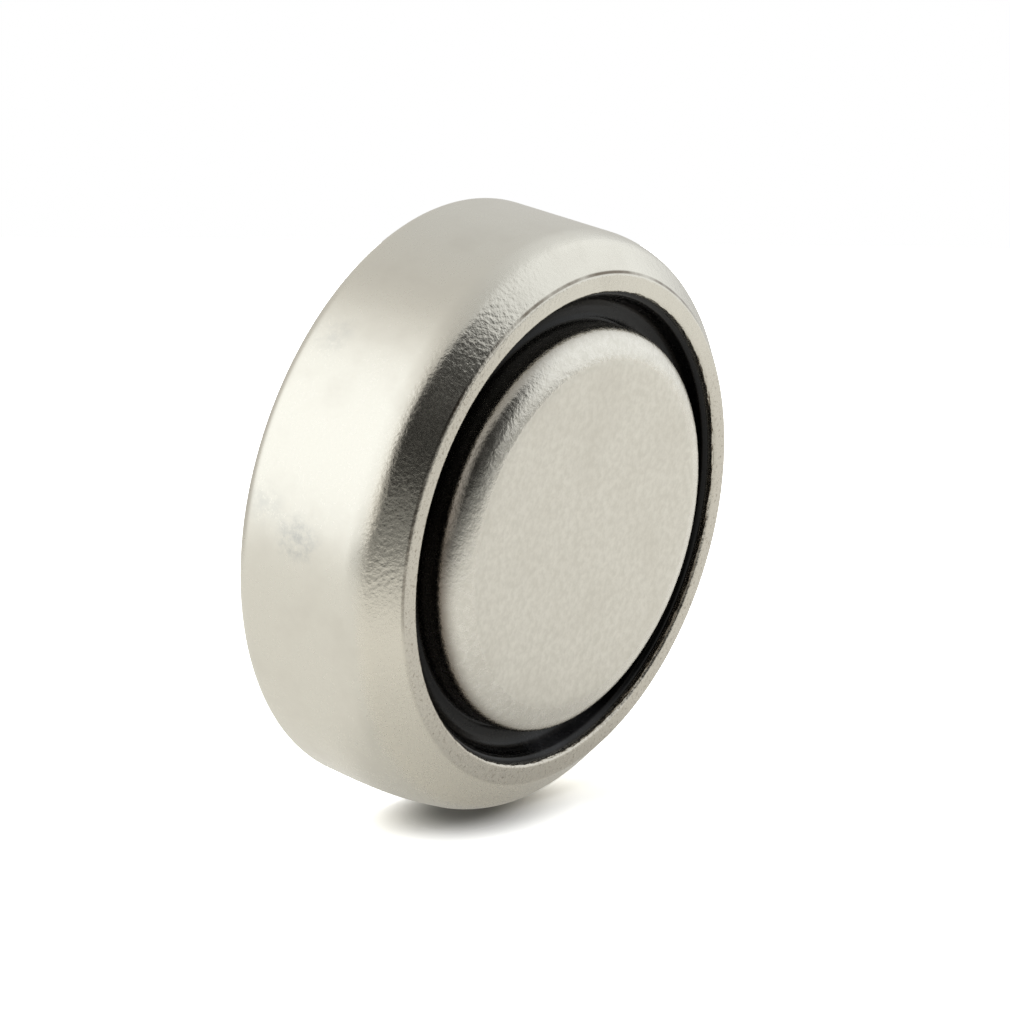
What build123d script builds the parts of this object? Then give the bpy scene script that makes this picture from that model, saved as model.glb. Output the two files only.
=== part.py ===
"""Alkaline button cell, 11.6 mm across: a crimped can, its gasket, the cap and what they seal in.

Millimetres. The origin is the centre of the can's flat base, which is the positive contact.
+Z runs along the cell's axis, towards the cap, which is the negative contact.
Every piece is round about Z. The discs are extruded, and the others turned from a half section in XZ.
"""
from build123d import *
import os

# Can: the drawn steel cup whose edge is crimped over the gasket
CELL_RADIUS = 5.8
CAN_SHEET = 0.25
BASE_CORNER = 0.35
WALL_HEIGHT = 2.95
WALL_BLEND = 0.8
SHOULDER_RADIUS = 5.66
SHOULDER_HEIGHT = 3.2
SHOULDER_BLEND = 0.6
LIP_RADIUS = 5.15
LIP_BEND = 0.12
LIP_RISE = 0.04
LIP_HEIGHT = 3.75
OPENING_RADIUS = 4.77
LIP_EDGE_ROUND = 0.08

# Cap: the drawn steel cup whose folded rim stands in the gasket
CAP_RADIUS = 4.10
CAP_SHEET = 0.20
CAP_HEIGHT = 4.18
CAP_EDGE = 0.55
STEP_HEIGHT = 3.05
STEP_CORNER = 0.10
RIM_RADIUS = 4.90
RIM_CORNER = 0.30
FOLD_CENTRE = 2.45
FOLD_TOP = 2.65

# Gasket: the moulded nylon ring between the two cups
GASKET_TOP = 3.64
GASKET_NOSE = 0.12
GROOVE_HEIGHT_AT_CAP = 3.25
GASKET_LEG_RADIUS = 4.45
GASKET_LEG_TOP = 2.60

# Cathode pellet and the steel ring pressed over its edge
PELLET_TOP = 1.60
PELLET_CHAMFER = 0.15
RING_SHEET = 0.15
RING_OPENING_RADIUS = 4.85
RING_SKIRT_BOTTOM = 0.85
RING_CORNER = 0.20

# Separator: a barrier film under an absorbent pad
SEPARATOR_RADIUS = 5.2
BARRIER_THICKNESS = 0.06
ABSORBENT_THICKNESS = 0.26

# Worked out from the values above
CAN_BORE = CELL_RADIUS - CAN_SHEET
HALF_CAN_SHEET = CAN_SHEET / 2
HALF_CAP_SHEET = CAP_SHEET / 2
HALF_RING_SHEET = RING_SHEET / 2
BARRIER_TOP = PELLET_TOP + BARRIER_THICKNESS
ABSORBENT_TOP = BARRIER_TOP + ABSORBENT_THICKNESS

os.makedirs("parts", exist_ok=True)

# The can's outside, from the middle of the base to the lip, thickened inwards to the sheet
with BuildPart() as positive_can:
    with BuildSketch(Plane.XZ):
        with BuildLine():
            FilletPolyline(
                (0, 0),
                (CELL_RADIUS, 0),
                (CELL_RADIUS, WALL_HEIGHT),
                (SHOULDER_RADIUS, SHOULDER_HEIGHT),
                (LIP_RADIUS, LIP_HEIGHT - LIP_RISE),
                (OPENING_RADIUS, LIP_HEIGHT),
                radius=(BASE_CORNER, WALL_BLEND, SHOULDER_BLEND, LIP_BEND),
            )
            offset(amount=CAN_SHEET, side=Side.LEFT)
        make_face()
    revolve(axis=Axis.Z)
    lip_edge = positive_can.edges().filter_by(GeomType.CIRCLE).sort_by(Axis.Z)[-1]
    fillet(lip_edge, LIP_EDGE_ROUND)
positive_can.part.label = "positive_can"
export_step(positive_can.part, "parts/positive_can.step")

# The cap's outside, from the rim up to the middle of its top, thickened inwards to the sheet.
# The rim's sheet turns outwards through a half circle and lies back against itself.
with BuildPart() as negative_cap:
    with BuildSketch(Plane.XZ):
        with BuildLine():
            FilletPolyline(
                (RIM_RADIUS, FOLD_CENTRE),
                (RIM_RADIUS, STEP_HEIGHT),
                (CAP_RADIUS, STEP_HEIGHT),
                (CAP_RADIUS, CAP_HEIGHT),
                (0, CAP_HEIGHT),
                radius=(RIM_CORNER, STEP_CORNER, CAP_EDGE),
            )
            offset(amount=CAP_SHEET, side=Side.LEFT)
        make_face()
        with Locations((RIM_RADIUS, FOLD_CENTRE)):
            Circle(CAP_SHEET)
            Rectangle(CAP_SHEET, FOLD_TOP - FOLD_CENTRE, align=(Align.MIN, Align.MIN))
    revolve(axis=Axis.Z)
negative_cap.part.label = "negative_cap"
export_step(negative_cap.part, "parts/negative_cap.step")

# The gasket's blank reaches half way into both sheets, and the two cups then trim it,
# so that it fills the crimp and grips both sides of the cap's folded rim
with BuildPart() as gasket:
    with BuildSketch(Plane.XZ):
        with BuildLine():
            nose = CenterArc((OPENING_RADIUS, GASKET_TOP - GASKET_NOSE), GASKET_NOSE, 90, 90)
            groove_floor = TangentArc(
                nose @ 1,
                (CAP_RADIUS - HALF_CAP_SHEET, GROOVE_HEIGHT_AT_CAP),
                tangent=(0, -1),
            )
            Polyline(
                groove_floor @ 1,
                (CAP_RADIUS - HALF_CAP_SHEET, STEP_HEIGHT - HALF_CAP_SHEET),
                (RIM_RADIUS - HALF_CAP_SHEET, STEP_HEIGHT - HALF_CAP_SHEET),
                (RIM_RADIUS - HALF_CAP_SHEET, GASKET_LEG_TOP),
                (GASKET_LEG_RADIUS, GASKET_LEG_TOP),
                (GASKET_LEG_RADIUS, ABSORBENT_TOP),
                (SEPARATOR_RADIUS, ABSORBENT_TOP),
                (SEPARATOR_RADIUS, PELLET_TOP),
                (CELL_RADIUS - HALF_CAN_SHEET, PELLET_TOP),
                (CELL_RADIUS - HALF_CAN_SHEET, WALL_HEIGHT),
                (SHOULDER_RADIUS - HALF_CAN_SHEET, SHOULDER_HEIGHT - HALF_CAN_SHEET),
                (LIP_RADIUS - HALF_CAN_SHEET, LIP_HEIGHT - HALF_CAN_SHEET),
                nose @ 0,
            )
        make_face()
    revolve(axis=Axis.Z)
    add(positive_can.part, mode=Mode.SUBTRACT)
    add(negative_cap.part, mode=Mode.SUBTRACT)
gasket.part.label = "gasket"
export_step(gasket.part, "parts/gasket.step")

# The ring's outside, from its opening over the corner and down the skirt, thickened inwards
with BuildPart() as cathode_ring:
    with BuildSketch(Plane.XZ):
        with BuildLine():
            FilletPolyline(
                (RING_OPENING_RADIUS, PELLET_TOP),
                (CAN_BORE, PELLET_TOP),
                (CAN_BORE, RING_SKIRT_BOTTOM),
                radius=RING_CORNER,
            )
            offset(amount=RING_SHEET, side=Side.RIGHT)
        make_face()
    revolve(axis=Axis.Z)
cathode_ring.part.label = "cathode_ring"
export_step(cathode_ring.part, "parts/cathode_ring.step")

# The pellet fills the bottom of the can, and the ring, pressed into its upper edge, trims it
with BuildPart() as cathode_pellet:
    with BuildSketch(Plane.XZ):
        with BuildLine():
            Polyline(
                (0, CAN_SHEET),
                (CAN_BORE - PELLET_CHAMFER, CAN_SHEET),
                (CAN_BORE, CAN_SHEET + PELLET_CHAMFER),
                (CAN_BORE, RING_SKIRT_BOTTOM),
                (CAN_BORE - HALF_RING_SHEET, RING_SKIRT_BOTTOM),
                (CAN_BORE - HALF_RING_SHEET, PELLET_TOP - HALF_RING_SHEET),
                (RING_OPENING_RADIUS, PELLET_TOP - HALF_RING_SHEET),
                (RING_OPENING_RADIUS, PELLET_TOP),
                (0, PELLET_TOP),
                close=True,
            )
        make_face()
    revolve(axis=Axis.Z)
    add(cathode_ring.part, mode=Mode.SUBTRACT)
cathode_pellet.part.label = "cathode_pellet"
export_step(cathode_pellet.part, "parts/cathode_pellet.step")

# The two separator discs lie on the pellet, one on the other, with the gasket's foot on top
with BuildPart() as separator_barrier:
    with BuildSketch(Plane.XY.offset(PELLET_TOP)):
        Circle(SEPARATOR_RADIUS)
    extrude(amount=BARRIER_THICKNESS)
separator_barrier.part.label = "separator_barrier"
export_step(separator_barrier.part, "parts/separator_barrier.step")

with BuildPart() as separator_absorbent:
    with BuildSketch(Plane.XY.offset(BARRIER_TOP)):
        Circle(SEPARATOR_RADIUS)
    extrude(amount=ABSORBENT_THICKNESS)
separator_absorbent.part.label = "separator_absorbent"
export_step(separator_absorbent.part, "parts/separator_absorbent.step")

# The gel fills the cap: its blank reaches half way into the cap's sheet, which then trims it
with BuildPart() as anode_gel:
    with BuildSketch(Plane.XZ):
        with BuildLine():
            FilletPolyline(
                (0, ABSORBENT_TOP),
                (GASKET_LEG_RADIUS, ABSORBENT_TOP),
                (GASKET_LEG_RADIUS, GASKET_LEG_TOP),
                (RIM_RADIUS - HALF_CAP_SHEET, GASKET_LEG_TOP),
                (RIM_RADIUS - HALF_CAP_SHEET, STEP_HEIGHT - HALF_CAP_SHEET),
                (CAP_RADIUS - HALF_CAP_SHEET, STEP_HEIGHT - HALF_CAP_SHEET),
                (CAP_RADIUS - HALF_CAP_SHEET, CAP_HEIGHT - HALF_CAP_SHEET),
                (0, CAP_HEIGHT - HALF_CAP_SHEET),
                radius=(0, 0, 0, 0, 0, CAP_EDGE - HALF_CAP_SHEET),
            )
            Line((0, CAP_HEIGHT - HALF_CAP_SHEET), (0, ABSORBENT_TOP))
        make_face()
    revolve(axis=Axis.Z)
    add(negative_cap.part, mode=Mode.SUBTRACT)
anode_gel.part.label = "anode_gel"
export_step(anode_gel.part, "parts/anode_gel.step")
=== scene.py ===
"""Looks of the alkaline button cell: its two cups and gasket in fine detail, their finishes, and a studio.

Metres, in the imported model's frame: +Z runs from the flat positive base to the negative cap.
Directions round the cell are given as an azimuth from the camera's side and an elevation above the floor.
"""
import math
import random

import bmesh
import bpy
from mathutils import Matrix, Quaternion, Vector


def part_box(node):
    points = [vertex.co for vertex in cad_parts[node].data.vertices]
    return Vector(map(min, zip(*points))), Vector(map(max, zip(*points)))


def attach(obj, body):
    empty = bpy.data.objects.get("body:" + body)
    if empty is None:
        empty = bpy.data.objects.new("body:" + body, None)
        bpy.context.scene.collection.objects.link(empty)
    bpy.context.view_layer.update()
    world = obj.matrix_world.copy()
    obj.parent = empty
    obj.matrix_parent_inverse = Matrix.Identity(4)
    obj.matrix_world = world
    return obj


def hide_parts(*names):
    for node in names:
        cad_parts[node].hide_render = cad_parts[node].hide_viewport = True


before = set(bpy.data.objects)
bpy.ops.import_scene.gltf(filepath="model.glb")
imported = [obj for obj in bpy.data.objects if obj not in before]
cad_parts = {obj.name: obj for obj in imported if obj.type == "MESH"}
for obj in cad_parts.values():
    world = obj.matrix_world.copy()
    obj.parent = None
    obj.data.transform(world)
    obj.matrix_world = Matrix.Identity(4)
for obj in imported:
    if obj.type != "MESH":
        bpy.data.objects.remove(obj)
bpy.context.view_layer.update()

MM = 0.001
TURN_STEPS = 384

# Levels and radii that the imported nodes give
CELL_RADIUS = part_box("positive_can")[1].x
LIP_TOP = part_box("positive_can")[1].z
CAP_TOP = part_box("negative_cap")[1].z
RIM_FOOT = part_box("negative_cap")[0].z
GASKET_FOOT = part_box("gasket")[0].z
GASKET_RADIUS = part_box("gasket")[1].x

# Can section
CAN_SHEET = 0.25 * MM
BASE_CORNER = 0.35 * MM
WALL_HEIGHT = 2.95 * MM
SHOULDER_HEIGHT = 3.20 * MM
SHOULDER_RADIUS = 5.66 * MM
LIP_RADIUS = 5.15 * MM
LIP_RISE = 0.03 * MM
OPENING_RADIUS = 4.77 * MM
WALL_ROUND = 0.24 * MM
SHOULDER_ROUND = 0.085 * MM
LIP_OUTER_ROUND = 0.06 * MM
LIP_INNER_ROUND = 0.09 * MM

# Where the wall is a little out of round, in degrees from the camera's side, and by how much
SWELL_AZIMUTH = 98
SWELL_SPREAD = 60
SWELL = 0.20 * MM
SWELL_HEIGHT = 1.75 * MM
SWELL_DEPTH = 2.6 * MM

# Rag on the lip's cut edge
BURR = 0.009 * MM

# Cap section
CAP_RADIUS = 4.10 * MM
CAP_SHEET = 0.20 * MM
CAP_EDGE = 0.55 * MM
STEP_HEIGHT = 3.05 * MM
RIM_RADIUS = 4.90 * MM
SHEET_ROUND = 0.10 * MM
STEP_ROUND = 0.30 * MM

# The cap's outer edge is two arcs with a short slope between them
EDGE_INSET = 0.38 * MM
EDGE_DROP = 0.36 * MM
EDGE_TOP_ROUND = 0.36 * MM
EDGE_SIDE_ROUND = 0.16 * MM

# Gasket section
GROOVE_FLOOR = 3.15 * MM
GROOVE_ROUND = 0.14 * MM
NOSE_TOP = 3.60 * MM
NOSE_ROUND = 0.11 * MM
LEG_OUTSIDE = 5.20 * MM
SLOT_OUTSIDE = 5.10 * MM
SLOT_INSIDE = 4.90 * MM
SLOT_TOP = 2.65 * MM

# Camera: its angle from the cell's axis, its roll, and how far it stands off
CAMERA_AZIMUTH = math.radians(-90)
CAMERA_TILT = math.radians(56.10)
CAMERA_ROLL = math.radians(107.67)
CAMERA_DISTANCE = 500 * MM
VIEW_WIDTH = 19.803 * MM
BASE_OFFSET = (-1.755 * MM, 0.4735 * MM)

# The cell stands on its rim: the way to the floor from the cell
FLOOR_AZIMUTH = 111
FLOOR_ELEVATION = 14

# Tones of the finishes
NICKEL = (0.76, 0.735, 0.655)
NICKEL_DULL = (0.66, 0.63, 0.555)
# Painted warmer reflection from the floor side, laid on the bent shoulder
NICKEL_WARM_REFLECTION = (0.76, 0.72, 0.62)
# The lip's own pitted tone, laid on more thickly away from the lit side as painted shade
LIP_TONE = (0.64, 0.605, 0.53)
LIP_PITS = (0.40, 0.36, 0.30)
# Painted dark reflection along the lip's outer bend
BEND_SHADE_TONE = (0.16, 0.13, 0.10)
SMUDGE_TONE = (0.34, 0.36, 0.37)
CAP_DARK = (0.72, 0.695, 0.62)
CAP_LIGHT = (0.83, 0.805, 0.73)
# Painted shade on the cap's flank
FLANK_SHADE_TONE = (0.10, 0.070, 0.050)
NYLON = (0.003, 0.003, 0.003)
NYLON_DUSTY = (0.007, 0.006, 0.005)
# Painted grey reflection on the gasket's nose
PAINTED_GLOSS_TONE = (0.055, 0.056, 0.062)

# The sides that the painted warmer reflection and the painted dark line on the lip's bend gather on,
# and the lit sides, where the painted shade on the lip and on the cap's flank is least
WARM_REFLECTION_SIDE = 60
BEND_SHADE_SIDE = -45
LIP_LIT_SIDE = -85
FLANK_LIT_SIDE = -60

# Smudges on the wall: azimuth, height, reach, depth
SMUDGES = [
    (18, 1.50 * MM, 0.70 * MM, 0.50),
    (13, 0.60 * MM, 0.60 * MM, 0.22),
    (-23, 0.75 * MM, 0.60 * MM, 0.20),
]

# Painted grey reflection on the gasket's nose, in two places: azimuth, reach, depth
GLOSS_PATCH_RADIUS = 4.60 * MM
GLOSS_PATCH_HEIGHT = 3.50 * MM
PAINTED_GLOSS_PATCHES = [
    (117, 0.85 * MM, 1.0),
    (130, 0.95 * MM, 0.6),
]

# Tent of light: its plain strength, then azimuth, elevation, full to this many degrees, gone by this many.
# The last number is the strength that a soft light adds, or the share of light that a dark opening keeps.
TENT_LEVEL = 0.60
SOFT_LIGHTS = [
    (-130, 22, 15, 58, 0.45),
    (-5, -32, 17, 56, 0.78),
    (-120, -34, 20, 60, 0.08),
]
DARK_OPENINGS = [
    (-35, 58, 26, 37, 0.06),
    (-15, 35, 10, 34, 0.48),
]
TENT_WARM = (1.0, 0.975, 0.93)
TENT_COOL = (0.965, 0.985, 1.0)
COOL_SIDE = (-125, 15)
COOL_BELOW = (-5, -34)

# Key lamp: azimuth, elevation, distance, size, watts
KEY_LAMP = (-80, -20, 400 * MM, 200 * MM, 0.35)

# Floor: half its side, its tones near the cell and far off, which paint a pool of light for all rays but the
# camera's, the colour and the glow that make it white to the camera, and the glow that glossy surfaces see in
# it
FLOOR_HALF = 60 * MM
FLOOR_NEAR_TONE = (0.60, 0.59, 0.56)
FLOOR_FAR_TONE = (0.20, 0.20, 0.195)
FLOOR_FAR_SIDE = (10, 55)
FLOOR_NEAR_REACH = 9 * MM
FLOOR_FAR_REACH = 24 * MM
FLOOR_GAIN = 2.4
FLOOR_LIFT = 0.01
FLOOR_SHEEN = 0.28

# The painted shadow on the floor where the cell touches it: its shift beside the touching point, half sizes,
# strength and tone
SHADE_SHIFT = -0.6 * MM
SHADE_WIDTH = 1.35 * MM
SHADE_DEPTH = 3.2 * MM
SHADE_STRENGTH = 0.90
SHADE_TONE = (0.02, 0.02, 0.022)


def toward(azimuth, elevation):
    """Unit vector at these degrees from the camera's side of the cell and above the floor."""
    turn = CAMERA_AZIMUTH + math.radians(azimuth)
    rise = math.radians(elevation)
    return Vector((math.cos(turn) * math.cos(rise), math.sin(turn) * math.cos(rise), math.sin(rise)))


# ---------------------------------------------------------------- pieces

def half_section(corners, closed):
    """A bmesh wire in XZ through (radius, height, rounding), each corner rounded by its tangent length."""
    mesh = bmesh.new()
    verts = [mesh.verts.new((radius, 0, height)) for radius, height, _ in corners]
    for first, second in zip(verts, verts[1:]):
        mesh.edges.new((first, second))
    if closed:
        mesh.edges.new((verts[-1], verts[0]))
    for vert, (_, _, rounding) in zip(verts, corners):
        if rounding:
            bmesh.ops.bevel(
                mesh,
                geom=[vert],
                offset=rounding,
                offset_type="OFFSET",
                affect="VERTICES",
                segments=10,
                profile=0.5,
                material=-1,
            )
    return mesh


def turned_piece(name, corners, closed=False, longest=0.12 * MM):
    """A piece turned about Z from its half section, with long stretches divided so that it shades evenly."""
    mesh = half_section(corners, closed)
    for edge in list(mesh.edges):
        cuts = int(edge.calc_length() / longest)
        if cuts:
            bmesh.ops.subdivide_edges(mesh, edges=[edge], cuts=cuts)
    bmesh.ops.spin(
        mesh,
        geom=mesh.verts[:] + mesh.edges[:],
        cent=(0, 0, 0),
        axis=(0, 0, 1),
        angle=math.tau,
        steps=TURN_STEPS,
        use_merge=True,
    )
    bmesh.ops.remove_doubles(mesh, verts=mesh.verts[:], dist=0.0005 * MM)
    bmesh.ops.recalc_face_normals(mesh, faces=mesh.faces[:])
    for face in mesh.faces:
        face.smooth = True
    data = bpy.data.meshes.new(name)
    mesh.to_mesh(data)
    mesh.free()
    piece = bpy.data.objects.new(name, data)
    bpy.context.scene.collection.objects.link(piece)
    return piece


def ease(value):
    """Smooth step of a value that runs from 0 to 1."""
    value = min(1.0, max(0.0, value))
    return value * value * (3 - 2 * value)


def make_can():
    """The can's shell, out of round where SWELL says, with a ragged cut edge on its lip."""
    inner = CELL_RADIUS - CAN_SHEET
    corners = [
        (0, 0, 0),
        (CELL_RADIUS, 0, BASE_CORNER),
        (CELL_RADIUS, WALL_HEIGHT - 0.05 * MM, WALL_ROUND),
        (SHOULDER_RADIUS, SHOULDER_HEIGHT, SHOULDER_ROUND),
        (LIP_RADIUS, LIP_TOP - LIP_RISE, LIP_OUTER_ROUND),
        (OPENING_RADIUS, LIP_TOP + 0.006 * MM, LIP_INNER_ROUND),
        (OPENING_RADIUS - 0.01 * MM, LIP_TOP - CAN_SHEET, 0.02 * MM),
        (LIP_RADIUS - 0.12 * MM, LIP_TOP - CAN_SHEET - LIP_RISE, 0),
        (SHOULDER_RADIUS - CAN_SHEET, SHOULDER_HEIGHT - 0.08 * MM, 0),
        (inner, WALL_HEIGHT - 0.03 * MM, 0),
        (inner, CAN_SHEET, 0.10 * MM),
        (0, CAN_SHEET, 0),
    ]
    can = turned_piece("can_shell", corners)
    for vert in can.data.vertices:
        place = vert.co
        radius = math.hypot(place.x, place.y)
        if radius < CAN_SHEET:
            continue
        azimuth = math.degrees(math.atan2(place.y, place.x) - CAMERA_AZIMUTH)
        turn = (azimuth - SWELL_AZIMUTH + 180) % 360 - 180
        level = abs(place.z - SWELL_HEIGHT)
        push = SWELL * ease(1 - abs(turn) / SWELL_SPREAD) * ease(1 - level / SWELL_DEPTH)
        push *= ease((radius - OPENING_RADIUS) / (SHOULDER_RADIUS - OPENING_RADIUS))
        if radius < OPENING_RADIUS + 0.03 * MM and place.z > LIP_TOP - 0.6 * CAN_SHEET:
            push += random.uniform(-BURR, BURR)
        scale = 1 + push / radius
        vert.co = (place.x * scale, place.y * scale, place.z)
    return can


def make_cap():
    """The cap's shell, with its step and the folded rim that stands in the gasket."""
    fold = CAP_SHEET
    corners = [
        (0, CAP_TOP, 0),
        (CAP_RADIUS - EDGE_INSET, CAP_TOP, EDGE_TOP_ROUND),
        (CAP_RADIUS + 0.01 * MM, CAP_TOP - EDGE_DROP, EDGE_SIDE_ROUND),
        (CAP_RADIUS, STEP_HEIGHT, SHEET_ROUND),
        (RIM_RADIUS, STEP_HEIGHT, STEP_ROUND),
        (RIM_RADIUS, RIM_FOOT + 2 * fold, 0),
        (RIM_RADIUS + fold, RIM_FOOT + 2 * fold, 0.04 * MM),
        (RIM_RADIUS + fold, RIM_FOOT, fold),
        (RIM_RADIUS - fold, RIM_FOOT, fold * 0.98),
        (RIM_RADIUS - fold, STEP_HEIGHT - fold, SHEET_ROUND),
        (CAP_RADIUS - fold, STEP_HEIGHT - fold, STEP_ROUND),
        (CAP_RADIUS - fold, CAP_TOP - fold, CAP_EDGE - fold),
        (0, CAP_TOP - fold, 0),
    ]
    return turned_piece("cap_shell", corners)


def make_gasket():
    """The gasket: a groove beside the cap, a nose under the lip, and a slot in its foot for the cap's rim."""
    corners = [
        (CAP_RADIUS - 0.05 * MM, GROOVE_FLOOR + 0.10 * MM, 0),
        (4.27 * MM, GROOVE_FLOOR - 0.03 * MM, GROOVE_ROUND),
        (4.60 * MM, GROOVE_FLOOR + 0.10 * MM, GROOVE_ROUND),
        (OPENING_RADIUS - 0.12 * MM, NOSE_TOP, NOSE_ROUND),
        (OPENING_RADIUS + 0.03 * MM, NOSE_TOP, 0),
        (OPENING_RADIUS + 0.03 * MM, LIP_TOP - 1.3 * CAN_SHEET, 0),
        (LIP_RADIUS - 0.14 * MM, LIP_TOP - 1.4 * CAN_SHEET, 0),
        (SHOULDER_RADIUS - 1.2 * CAN_SHEET, SHOULDER_HEIGHT - 0.12 * MM, 0),
        (GASKET_RADIUS, WALL_HEIGHT - 0.1 * MM, 0),
        (GASKET_RADIUS, GASKET_FOOT, 0),
        (LEG_OUTSIDE, GASKET_FOOT, 0),
        (LEG_OUTSIDE, RIM_FOOT, 0),
        (SLOT_OUTSIDE, RIM_FOOT, 0),
        (SLOT_OUTSIDE, SLOT_TOP, 0),
        (SLOT_INSIDE, SLOT_TOP + 0.01 * MM, 0),
        (SLOT_INSIDE - 0.02 * MM, STEP_HEIGHT - 0.05 * MM, 0),
        (CAP_RADIUS - 0.05 * MM, STEP_HEIGHT - 0.05 * MM, 0),
    ]
    return turned_piece("gasket_ring", corners, closed=True)


# ---------------------------------------------------------------- node helpers

class Graph:
    """Builds one material's or the world's nodes."""

    def __init__(self, tree):
        self.tree = tree
        tree.nodes.clear()

    def add(self, kind, settings=None, **inputs):
        """Adds a node, sets its properties, and sets or links its inputs by name."""
        node = self.tree.nodes.new(kind)
        for key, value in (settings or {}).items():
            setattr(node, key, value)
        for key, value in inputs.items():
            self.feed(node, key.replace("_", " "), value)
        return node

    def feed(self, node, socket, value):
        target = node.inputs[int(socket)] if socket.isdigit() else node.inputs[socket]
        if isinstance(value, bpy.types.NodeSocket):
            self.tree.links.new(value, target)
        else:
            target.default_value = value

    def maths(self, operation, first, second=0.0, clamp=False):
        node = self.tree.nodes.new("ShaderNodeMath")
        node.operation = operation
        node.use_clamp = clamp
        self.feed(node, "0", first)
        self.feed(node, "1", second)
        return node.outputs[0]

    def ramp(self, value, low, high, start=0.0, end=1.0, smooth=True):
        """Maps value from low..high to start..end, clamped, with soft ends."""
        node = self.add(
            "ShaderNodeMapRange",
            {"interpolation_type": "SMOOTHSTEP" if smooth else "LINEAR", "clamp": True},
        )
        self.feed(node, "Value", value)
        self.feed(node, "From Min", low)
        self.feed(node, "From Max", high)
        self.feed(node, "To Min", start)
        self.feed(node, "To Max", end)
        return node.outputs["Result"]

    def noise(self, vector, size, detail=2.0, roughness=0.5, distortion=0.0):
        """Noise whose blobs are about `size` metres across."""
        node = self.add("ShaderNodeTexNoise", Vector=vector, Scale=1 / size, Detail=detail)
        self.feed(node, "Roughness", roughness)
        self.feed(node, "Distortion", distortion)
        return node.outputs["Fac"]

    def blend(self, factor, first, second):
        node = self.add("ShaderNodeMix", {"data_type": "RGBA"})
        self.feed(node, "0", factor)
        node_inputs = [s for s in node.inputs if s.type == "RGBA"]
        for target, value in zip(node_inputs, (first, second)):
            if isinstance(value, bpy.types.NodeSocket):
                self.tree.links.new(value, target)
            else:
                target.default_value = (*value, 1)
        return [s for s in node.outputs if s.type == "RGBA"][0]

    def dot(self, vector, fixed):
        """How far a vector goes along a fixed one."""
        node = self.tree.nodes.new("ShaderNodeVectorMath")
        node.operation = "DOT_PRODUCT"
        self.tree.links.new(vector, node.inputs[0])
        node.inputs[1].default_value = fixed
        return node.outputs["Value"]

    def side(self, place, azimuth, low, high, start, end):
        """Maps how far a point lies towards this azimuth, from low..high metres to start..end."""
        return self.ramp(self.dot(place, toward(azimuth, 0)), low, high, start, end)

    def near(self, place, centre, inner, outer):
        """1 within `inner` of the centre, and 0 beyond `outer`."""
        node = self.add("ShaderNodeVectorMath", {"operation": "DISTANCE"})
        self.tree.links.new(place, node.inputs[0])
        node.inputs[1].default_value = centre
        return self.ramp(node.outputs["Value"], inner, outer, 1.0, 0.0)

    def bump(self, height, distance, strength=1.0, normal=None):
        node = self.add("ShaderNodeBump", Height=height, Distance=distance, Strength=strength)
        if normal is not None:
            self.feed(node, "Normal", normal)
        return node.outputs["Normal"]


def new_material(name):
    material = bpy.data.materials.new(name)
    material.use_nodes = True
    return material, Graph(material.node_tree)


def finish_material(graph, shader):
    output = graph.add("ShaderNodeOutputMaterial")
    graph.tree.links.new(shader.outputs[0], output.inputs["Surface"])


# ---------------------------------------------------------------- finishes

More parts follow.
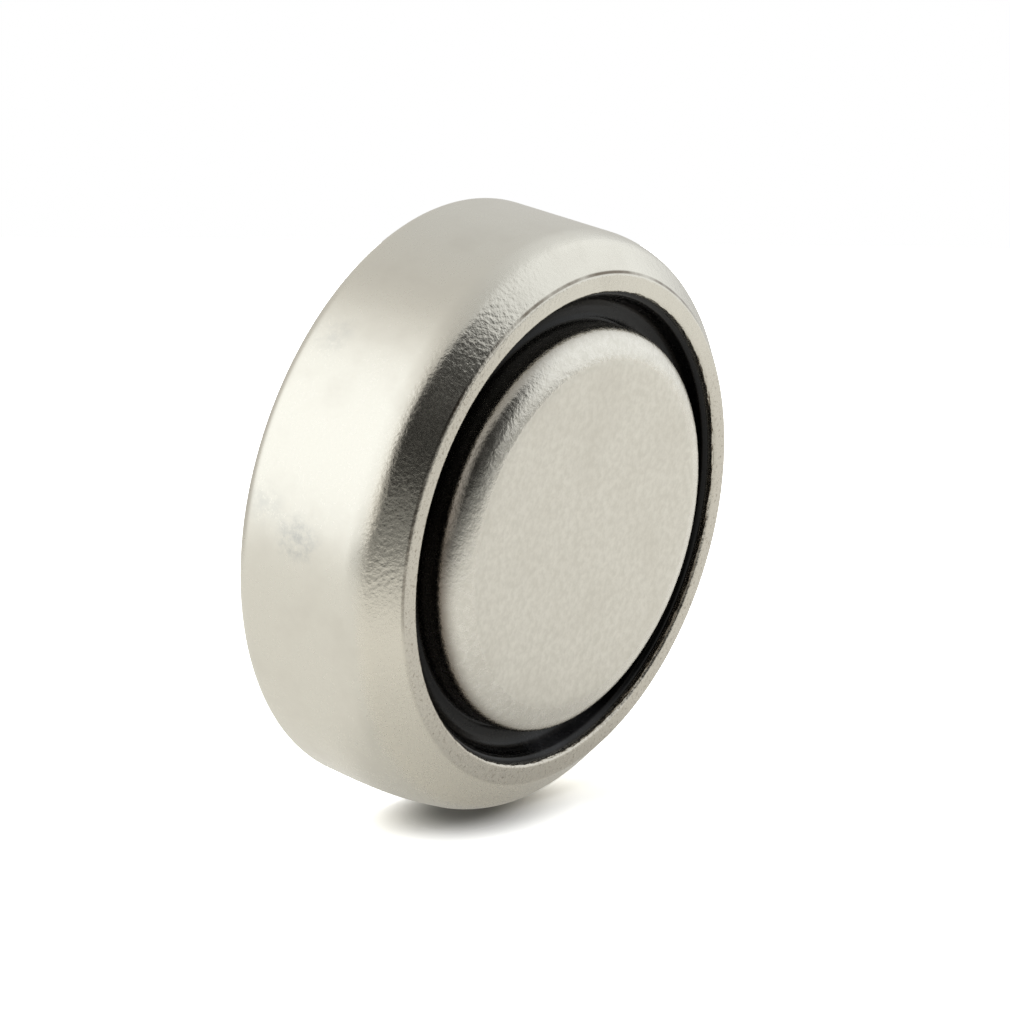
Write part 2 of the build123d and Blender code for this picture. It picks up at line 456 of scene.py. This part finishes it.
def can_finish():
    """Satin nickel plate: smooth on the wall, and roughened like orange peel where the sheet was bent."""
    material, graph = new_material("satin_nickel_can")
    place = graph.add("ShaderNodeTexCoord").outputs["Object"]
    split = graph.add("ShaderNodeSeparateXYZ", Vector=place)
    height = split.outputs["Z"]
    worked = graph.ramp(height, 2.85 * MM, 3.2 * MM)
    flat = graph.add("ShaderNodeCombineXYZ", X=split.outputs["X"], Y=split.outputs["Y"])
    across = graph.add("ShaderNodeVectorMath", {"operation": "LENGTH"}, Vector=flat.outputs[0])
    radius = across.outputs["Value"]

    smudges = graph.noise(place, 1.1 * MM, detail=4.0, roughness=0.6)
    grain = graph.noise(place, 0.05 * MM, detail=3.0, roughness=0.6)
    peel = graph.noise(place, 0.095 * MM, detail=2.0, roughness=0.55)
    ripple = graph.noise(place, 0.5 * MM, detail=2.0)

    dull = graph.ramp(smudges, 0.45, 0.75, 0.0, 0.35)
    colour = graph.blend(dull, NICKEL, NICKEL_DULL)
    # Painted reflection: the bent shoulder turns warmer towards one side, standing in for the floor's warmer
    # light.
    warm_reflection = graph.maths("MULTIPLY", worked, graph.side(place, WARM_REFLECTION_SIDE, 0.0, 4.5 * MM, 0.0, 0.8))
    colour = graph.blend(warm_reflection, colour, NICKEL_WARM_REFLECTION)
    patchy = graph.noise(place, 0.40 * MM, detail=5.0, roughness=0.7)
    for azimuth, level, size, depth in SMUDGES:
        centre = toward(azimuth, 0) * CELL_RADIUS + Vector((0, 0, level))
        spot = graph.near(place, centre, 0.2 * size, size)
        spot = graph.maths("MULTIPLY", spot, graph.ramp(patchy, 0.38, 0.66))
        colour = graph.blend(graph.maths("MULTIPLY", spot, depth), colour, SMUDGE_TONE)

    # Painted dark reflection: a thin dark line along the lip's outer bend, broken up by the smudge noise and
    # strongest towards one side.
    off_bend_line = graph.maths("ABSOLUTE", graph.maths("SUBTRACT", radius, LIP_RADIUS + 0.02 * MM))
    bend_shade = graph.ramp(off_bend_line, 0.012 * MM, 0.04 * MM, 0.95, 0.0)
    bend_shade = graph.maths("MULTIPLY", bend_shade, graph.ramp(height, LIP_TOP - 0.12 * MM, LIP_TOP - 0.08 * MM))
    bend_shade = graph.maths("MULTIPLY", bend_shade, graph.ramp(smudges, 0.35, 0.65, 0.3, 1.0))
    bend_shade = graph.maths("MULTIPLY", bend_shade, graph.side(place, BEND_SHADE_SIDE, 0.0, 3.5 * MM, 0.15, 1.0))
    on_lip = graph.ramp(radius, LIP_RADIUS - 0.02 * MM, LIP_RADIUS + 0.04 * MM, 1.0, 0.0)
    on_lip = graph.maths("MULTIPLY", on_lip, worked)
    pits = graph.noise(place, 0.07 * MM, detail=3.0, roughness=0.6)
    lip_tone = graph.blend(graph.ramp(pits, 0.30, 0.46), LIP_PITS, LIP_TONE)
    # The pits are the lip's own plate. The darker lip tone fading out towards one side is painted shade,
    # least on the lit side.
    lip_shade_share = graph.side(place, LIP_LIT_SIDE, 2.2 * MM, 4.8 * MM, 0.9, 0.1)
    colour = graph.blend(graph.maths("MULTIPLY", on_lip, lip_shade_share), colour, lip_tone)
    colour = graph.blend(bend_shade, colour, BEND_SHADE_TONE)

    rough = graph.ramp(grain, 0.3, 0.7, 0.27, 0.33)
    rough = graph.maths("ADD", rough, graph.maths("MULTIPLY", worked, -0.05))
    rough = graph.maths("ADD", rough, graph.maths("MULTIPLY", dull, 0.10))

    soft = graph.bump(ripple, 0.004 * MM)
    fine = graph.bump(grain, 0.0006 * MM, normal=soft)
    rough_skin = graph.maths("MULTIPLY", peel, worked)
    normal = graph.bump(rough_skin, 0.011 * MM, normal=fine)

    shader = graph.add("ShaderNodeBsdfPrincipled", Metallic=1.0, Roughness=rough, Normal=normal)
    graph.feed(shader, "Base Color", colour)
    finish_material(graph, shader)
    return material


def cap_finish():
    """Fine matt nickel plate: a mottled satin face, with a rougher skin round the drawn edge."""
    material, graph = new_material("matt_nickel_cap")
    place = graph.add("ShaderNodeTexCoord").outputs["Object"]
    split = graph.add("ShaderNodeSeparateXYZ", Vector=place)
    face = graph.ramp(split.outputs["Z"], CAP_TOP - 0.03 * MM, CAP_TOP - 0.002 * MM)

    mottle = graph.noise(place, 0.16 * MM, detail=4.0, roughness=0.65)
    grain = graph.noise(place, 0.045 * MM, detail=3.0, roughness=0.6)
    peel = graph.noise(place, 0.08 * MM, detail=2.0, roughness=0.55)
    clouds = graph.noise(place, 1.4 * MM, detail=3.0)

    colour = graph.blend(graph.ramp(mottle, 0.3, 0.7), CAP_DARK, CAP_LIGHT)
    colour = graph.blend(graph.ramp(clouds, 0.4, 0.8, 0.0, 0.35), colour, NICKEL_DULL)
    # Painted shade: the cap's flank turns dark brown below the face, less so towards the lit side, standing
    # in for the groove's shade and its dark reflection.
    flank = graph.ramp(split.outputs["Z"], CAP_TOP - 0.42 * MM, CAP_TOP - 0.13 * MM, 0.80, 0.0)
    flank_shaded_side = graph.side(place, FLANK_LIT_SIDE, 1.5 * MM, 3.9 * MM, 1.0, 0.55)
    flank = graph.maths("MULTIPLY", flank, flank_shaded_side)
    colour = graph.blend(flank, colour, FLANK_SHADE_TONE)
    rough = graph.ramp(face, 0.0, 1.0, 0.26, 0.40)
    rough = graph.maths("ADD", rough, graph.ramp(mottle, 0.3, 0.7, -0.03, 0.03))

    fine = graph.bump(grain, 0.0012 * MM)
    edge_skin = graph.maths("MULTIPLY", peel, graph.ramp(face, 0.0, 1.0, 1.0, 0.12))
    normal = graph.bump(edge_skin, 0.008 * MM, normal=fine)

    shader = graph.add("ShaderNodeBsdfPrincipled", Metallic=1.0, Roughness=rough, Normal=normal)
    graph.feed(shader, "Base Color", colour)
    finish_material(graph, shader)
    return material


def gasket_finish():
    """Semi-gloss black nylon with a faint moulded grain, and a painted grey reflection in two places."""
    material, graph = new_material("black_nylon_gasket")
    place = graph.add("ShaderNodeTexCoord").outputs["Object"]
    grain = graph.noise(place, 0.06 * MM, detail=3.0)
    dust = graph.noise(place, 0.22 * MM, detail=4.0, roughness=0.7)
    colour = graph.blend(graph.ramp(dust, 0.55, 0.8), NYLON, NYLON_DUSTY)
    # Painted reflection: grey patches on the gasket's nose, broken up by the dust noise, stand in for a gloss
    # highlight there.
    for azimuth, reach, depth in PAINTED_GLOSS_PATCHES:
        centre = toward(azimuth, 0) * GLOSS_PATCH_RADIUS + Vector((0, 0, GLOSS_PATCH_HEIGHT))
        gloss_patch = graph.near(place, centre, 0.1 * reach, reach)
        gloss_patch = graph.maths("MULTIPLY", gloss_patch, graph.ramp(dust, 0.2, 0.6, 0.5, 1.0))
        colour = graph.blend(graph.maths("MULTIPLY", gloss_patch, depth), colour, PAINTED_GLOSS_TONE)
    rough = graph.ramp(dust, 0.35, 0.75, 0.22, 0.30)
    normal = graph.bump(grain, 0.0004 * MM)
    shader = graph.add("ShaderNodeBsdfPrincipled", Roughness=rough, Normal=normal)
    graph.feed(shader, "Base Color", colour)
    graph.feed(shader, "Specular IOR Level", 0.22)
    finish_material(graph, shader)
    return material


def plain_steel_finish():
    """Thin satin steel of the ring inside the cell."""
    material, graph = new_material("satin_steel_ring")
    place = graph.add("ShaderNodeTexCoord").outputs["Object"]
    grain = graph.noise(place, 0.08 * MM, detail=3.0)
    colour = graph.blend(grain, (0.50, 0.49, 0.47), (0.60, 0.59, 0.57))
    normal = graph.bump(grain, 0.001 * MM)
    shader = graph.add("ShaderNodeBsdfPrincipled", Metallic=1.0, Normal=normal)
    graph.feed(shader, "Base Color", colour)
    graph.feed(shader, "Roughness", graph.ramp(grain, 0.3, 0.7, 0.30, 0.40))
    finish_material(graph, shader)
    return material


def grained_finish(name, dark, light, grain_size, relief, roughness):
    """A matt or moist filling with a grain: two tones, and a relief of the same grain."""
    material, graph = new_material(name)
    place = graph.add("ShaderNodeTexCoord").outputs["Object"]
    grain = graph.noise(place, grain_size, detail=5.0, roughness=0.65)
    colour = graph.blend(graph.ramp(grain, 0.35, 0.65), dark, light)
    normal = graph.bump(grain, relief)
    shader = graph.add("ShaderNodeBsdfPrincipled", Roughness=roughness, Normal=normal)
    graph.feed(shader, "Base Color", colour)
    finish_material(graph, shader)
    return material


# ---------------------------------------------------------------- studio

def make_floor(can):
    """A pale floor that the can's edge touches, with a painted shadow by the touching point and a painted
    pool of light round the cell. The camera sees it white, and from its upper side only.
    """
    down = toward(FLOOR_AZIMUTH, FLOOR_ELEVATION)
    touch = max((vert.co for vert in can.data.vertices), key=lambda place: place.dot(down))
    drop = touch.dot(down) + 0.003 * MM
    mesh = bmesh.new()
    bmesh.ops.create_grid(mesh, x_segments=1, y_segments=1, size=FLOOR_HALF)
    data = bpy.data.meshes.new("floor")
    mesh.to_mesh(data)
    mesh.free()
    floor = bpy.data.objects.new("floor", data)
    turn = down.to_track_quat("-Z", "Y").to_matrix().to_4x4()
    floor.matrix_world = Matrix.Translation(down * drop) @ turn
    bpy.context.scene.collection.objects.link(floor)

    material, graph = new_material("white_floor")
    path = graph.add("ShaderNodeLightPath")
    place = graph.add("ShaderNodeTexCoord").outputs["Object"]
    # Painted pool of light: for all rays but the camera's, the floor's tone fades from near the cell to far
    # off, and the glow that glossy rays see fades with it.
    beyond = graph.dot(place, floor.matrix_world.to_3x3().transposed() @ toward(*FLOOR_FAR_SIDE))
    painted_light_pool = graph.ramp(beyond, FLOOR_NEAR_REACH, FLOOR_FAR_REACH, 1.0, 0.0)
    tone = graph.blend(painted_light_pool, FLOOR_FAR_TONE, FLOOR_NEAR_TONE)
    paper = graph.add("ShaderNodeBsdfDiffuse", Color=tone)
    lift = graph.add("ShaderNodeEmission", Color=(1, 1, 1, 1))
    sheen = graph.maths("MULTIPLY", path.outputs["Is Glossy Ray"], painted_light_pool)
    sheen = graph.maths("MULTIPLY", sheen, FLOOR_SHEEN)
    whiteness = graph.maths("MULTIPLY", path.outputs["Is Camera Ray"], FLOOR_LIFT)
    graph.feed(lift, "Strength", graph.maths("ADD", sheen, whiteness))

    # Painted shadow: a dark ellipse on the floor beside the touching point, seen by camera rays only.
    view = -toward(0, 90 - math.degrees(CAMERA_TILT))
    depth = (view - down * view.dot(down)).normalized()
    across = down.cross(depth)
    to_floor = floor.matrix_world.inverted()
    centre = to_floor @ (touch + across * SHADE_SHIFT)
    turned = to_floor.to_3x3()
    offset = graph.add("ShaderNodeVectorMath", {"operation": "SUBTRACT"}, **{"0": place})
    offset.inputs[1].default_value = centre
    width = graph.dot(offset.outputs[0], turned @ across / SHADE_WIDTH)
    length = graph.dot(offset.outputs[0], turned @ depth / SHADE_DEPTH)
    width_squared = graph.maths("MULTIPLY", width, width)
    length_squared = graph.maths("MULTIPLY", length, length)
    reach = graph.maths("SQRT", graph.maths("ADD", width_squared, length_squared))
    painted_shadow = graph.ramp(reach, 0.25, 1.8, SHADE_STRENGTH, 0.0)
    white = graph.blend(painted_shadow, (FLOOR_GAIN, FLOOR_GAIN, FLOOR_GAIN), SHADE_TONE)
    bright = graph.add("ShaderNodeBsdfDiffuse", Color=white)

    seen = graph.tree.nodes.new("ShaderNodeMixShader")
    graph.tree.links.new(path.outputs["Is Camera Ray"], seen.inputs[0])
    graph.tree.links.new(paper.outputs[0], seen.inputs[1])
    graph.tree.links.new(bright.outputs[0], seen.inputs[2])
    both = graph.tree.nodes.new("ShaderNodeAddShader")
    graph.tree.links.new(seen.outputs[0], both.inputs[0])
    graph.tree.links.new(lift.outputs[0], both.inputs[1])
    clear = graph.add("ShaderNodeBsdfTransparent")
    side = graph.add("ShaderNodeNewGeometry")
    sheet = graph.tree.nodes.new("ShaderNodeMixShader")
    graph.tree.links.new(side.outputs["Backfacing"], sheet.inputs[0])
    graph.tree.links.new(both.outputs[0], sheet.inputs[1])
    graph.tree.links.new(clear.outputs[0], sheet.inputs[2])
    finish_material(graph, sheet)
    data.materials.append(material)


def make_world():
    """A soft tent of light with dark openings, which the camera sees as plain white."""
    world = bpy.data.worlds.new("studio")
    bpy.context.scene.world = world
    world.use_nodes = True
    graph = Graph(world.node_tree)
    path = graph.add("ShaderNodeLightPath")
    way = graph.add("ShaderNodeTexCoord").outputs["Generated"]

    def facing(azimuth, elevation):
        return graph.dot(way, toward(azimuth, elevation))

    def lobe(azimuth, elevation, inner, outer, start, end):
        low = math.cos(math.radians(outer))
        high = math.cos(math.radians(inner))
        return graph.ramp(facing(azimuth, elevation), low, high, start, end)

    level = TENT_LEVEL
    for azimuth, elevation, inner, outer, gain in SOFT_LIGHTS:
        level = graph.maths("ADD", level, lobe(azimuth, elevation, inner, outer, 0.0, gain))
    for azimuth, elevation, inner, outer, keep in DARK_OPENINGS:
        level = graph.maths("MULTIPLY", level, lobe(azimuth, elevation, inner, outer, 1.0, keep))
    cool_side = graph.ramp(facing(*COOL_SIDE), 0.2, 0.95)
    cool_below = graph.ramp(facing(*COOL_BELOW), 0.6, 0.95)
    cool = graph.maths("MAXIMUM", cool_side, cool_below)
    tint = graph.blend(cool, TENT_WARM, TENT_COOL)
    tent = graph.add("ShaderNodeBackground", Color=tint, Strength=level)
    plain = graph.add("ShaderNodeBackground", Color=(1, 1, 1, 1), Strength=1.0)
    mix = graph.tree.nodes.new("ShaderNodeMixShader")
    graph.tree.links.new(path.outputs["Is Camera Ray"], mix.inputs[0])
    graph.tree.links.new(tent.outputs[0], mix.inputs[1])
    graph.tree.links.new(plain.outputs[0], mix.inputs[2])
    output = graph.add("ShaderNodeOutputWorld")
    graph.tree.links.new(mix.outputs[0], output.inputs["Surface"])


def make_lamp(name, azimuth, elevation, distance, size, power):
    """A square soft lamp that faces the cell."""
    light = bpy.data.lights.new(name, "AREA")
    light.shape = "SQUARE"
    light.size = size
    light.energy = power
    lamp = bpy.data.objects.new(name, light)
    out = toward(azimuth, elevation)
    turn = out.to_track_quat("Z", "Y").to_matrix().to_4x4()
    lamp.matrix_world = Matrix.Translation(out * distance) @ turn
    bpy.context.scene.collection.objects.link(lamp)
    return lamp


def make_camera():
    """The camera looks down on the cap from one side, rolled so that the cell seems to stand on its rim."""
    back = toward(0, 90 - math.degrees(CAMERA_TILT))
    upright = (Vector((0, 0, 1)) - back * back.z).normalized()
    up = Quaternion(back, CAMERA_ROLL) @ upright
    right = up.cross(back)
    place = back * CAMERA_DISTANCE
    aim = -right * BASE_OFFSET[0] - up * BASE_OFFSET[1]
    turn = back.rotation_difference(place - aim)
    axes = Matrix((turn @ right, turn @ up, turn @ back)).transposed().to_4x4()
    data = bpy.data.cameras.new("camera")
    data.lens = data.sensor_width * CAMERA_DISTANCE / VIEW_WIDTH
    data.clip_start = 0.01
    data.clip_end = 4
    camera = bpy.data.objects.new("camera", data)
    camera.matrix_world = Matrix.Translation(place) @ axes
    bpy.context.scene.collection.objects.link(camera)
    bpy.context.scene.camera = camera


# ---------------------------------------------------------------- putting it together

random.seed(7)
can = make_can()

for piece, node, slot, material in (
    (can, "positive_can", "can_nickel", can_finish()),
    (make_cap(), "negative_cap", "cap_nickel", cap_finish()),
    (make_gasket(), "gasket", "gasket_nylon", gasket_finish()),
):
    piece.data.materials.append(material)
    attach(piece, "root")
    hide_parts(node)

INNER_FINISHES = {
    "cathode_ring": plain_steel_finish(),
    "cathode_pellet": grained_finish(
        "pressed_black_powder", (0.020, 0.020, 0.021), (0.045, 0.044, 0.042), 0.09 * MM, 0.006 * MM, 0.75
    ),
    "separator_barrier": grained_finish(
        "pale_barrier_film", (0.76, 0.73, 0.63), (0.83, 0.80, 0.71), 0.6 * MM, 0.001 * MM, 0.35
    ),
    "separator_absorbent": grained_finish(
        "white_fibre_pad", (0.78, 0.78, 0.75), (0.90, 0.90, 0.87), 0.07 * MM, 0.010 * MM, 0.9
    ),
    "anode_gel": grained_finish(
        "grey_zinc_gel", (0.22, 0.23, 0.25), (0.38, 0.39, 0.41), 0.10 * MM, 0.010 * MM, 0.30
    ),
}
for node, material in INNER_FINISHES.items():
    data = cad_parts[node].data
    data.materials.clear()
    data.materials.append(material)

make_floor(can)
make_world()
key = make_lamp("key", *KEY_LAMP)
key.visible_glossy = False
make_camera()

scene = bpy.context.scene
scene.view_settings.view_transform = "Standard"
